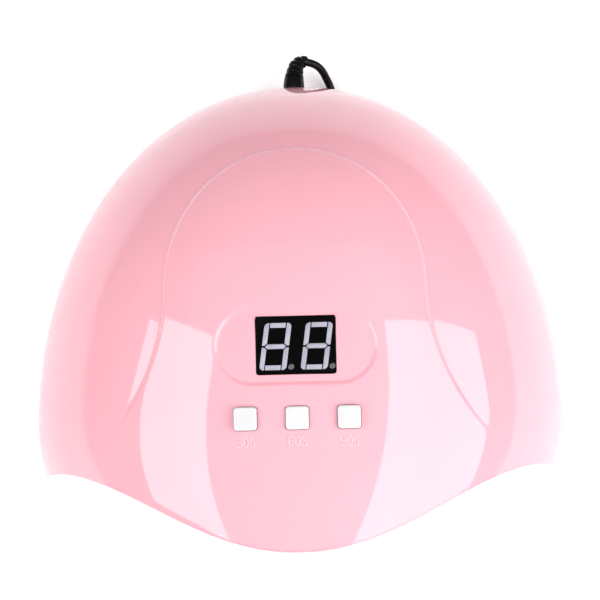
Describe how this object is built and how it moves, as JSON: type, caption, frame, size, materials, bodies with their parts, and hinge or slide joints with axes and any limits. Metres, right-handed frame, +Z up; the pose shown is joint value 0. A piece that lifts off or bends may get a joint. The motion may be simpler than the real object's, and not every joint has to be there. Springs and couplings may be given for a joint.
{
  "type": "uv led nail lamp",
  "caption": "Small domed light for curing nail gel, with an open front for the hand, a two-digit timer display, a row of push keys and a thin lead with a USB plug.",
  "frame": {"origin": "on the table under the middle of the housing (the box of the lamp without its lead)", "axes": "+Z up, -Y to the front where the hand goes in, +X to the right seen from the front"},
  "size_m": [0.1693, 0.1694, 0.07],
  "materials": {
    "pink_shell": "glossy",
    "white_liner": "glossy",
    "light_board": "satin",
    "light_bead": "clear",
    "green_board": "satin",
    "sensor_lens": "clear",
    "display_black": "glossy",
    "display_segment": "satin",
    "key_white": "glossy",
    "plunger": "matte",
    "switch_black": "matte",
    "capacitor_can": "satin",
    "inductor_body": "matte",
    "chip_black": "matte",
    "connector_white": "satin",
    "wire_white": "satin",
    "cord_black": "satin",
    "relief_black": "satin",
    "clamp_white": "satin",
    "screw_steel": "satin",
    "tie_black": "matte",
    "grip_black": "satin",
    "plug_metal": "bright",
    "plug_tongue": "satin",
    "foot_rubber": "matte"
  },
  "bodies": {
    "lamp": {"board_connectors": "connector_white", "board_screws": "screw_steel", "cable_clamp": "clamp_white", "capacitor": "capacitor_can", "clamp_screws": "screw_steel", "control_board": "green_board", "cord_coil": "cord_black", "cord_tie": "tie_black", "display_housing": "display_black", "display_segments": "display_segment", "driver_chip": "chip_black", "hand_sensors": "sensor_lens", "inductor": "inductor_body", "inner_lead": "cord_black", "inner_reflector": "white_liner", "led_beads_left": "light_bead", "led_beads_rear": "light_bead", "led_beads_right": "light_bead", "led_beads_top": "light_bead", "led_board_left": "light_board", "led_board_rear": "light_board", "led_board_right": "light_board", "led_board_top": "light_board", "light_board_screws": "screw_steel", "outer_shell": "pink_shell", "plug_tail": "cord_black", "power_cord": "cord_black", "rim_screws": "screw_steel", "rubber_feet": "foot_rubber", "sensor_board": "green_board", "strain_relief": "relief_black", "switch_bodies": "switch_black", "usb_plug_grip": "grip_black", "usb_plug_shell": "plug_metal", "usb_plug_tongue": "plug_tongue", "wiring": "wire_white"},
    "key_30s": {"button_30s": "key_white", "plunger_30s": "plunger"},
    "key_60s": {"button_60s": "key_white", "plunger_60s": "plunger"},
    "key_90s": {"button_90s": "key_white", "plunger_90s": "plunger"}
  },
  "joints": [
    {"name": "press_30s", "type": "slide", "parent": "lamp", "child": "key_30s", "axis": [0, 0.1582, -0.9874], "range_m": [0, 0.0004], "stiffness_N_per_m": 900, "springref_m": -0.0008},
    {"name": "press_60s", "type": "slide", "parent": "lamp", "child": "key_60s", "axis": [0, 0.1582, -0.9874], "range_m": [0, 0.0004], "stiffness_N_per_m": 900, "springref_m": -0.0008},
    {"name": "press_90s", "type": "slide", "parent": "lamp", "child": "key_90s", "axis": [0, 0.1582, -0.9874], "range_m": [0, 0.0004], "stiffness_N_per_m": 900, "springref_m": -0.0008}
  ]
}
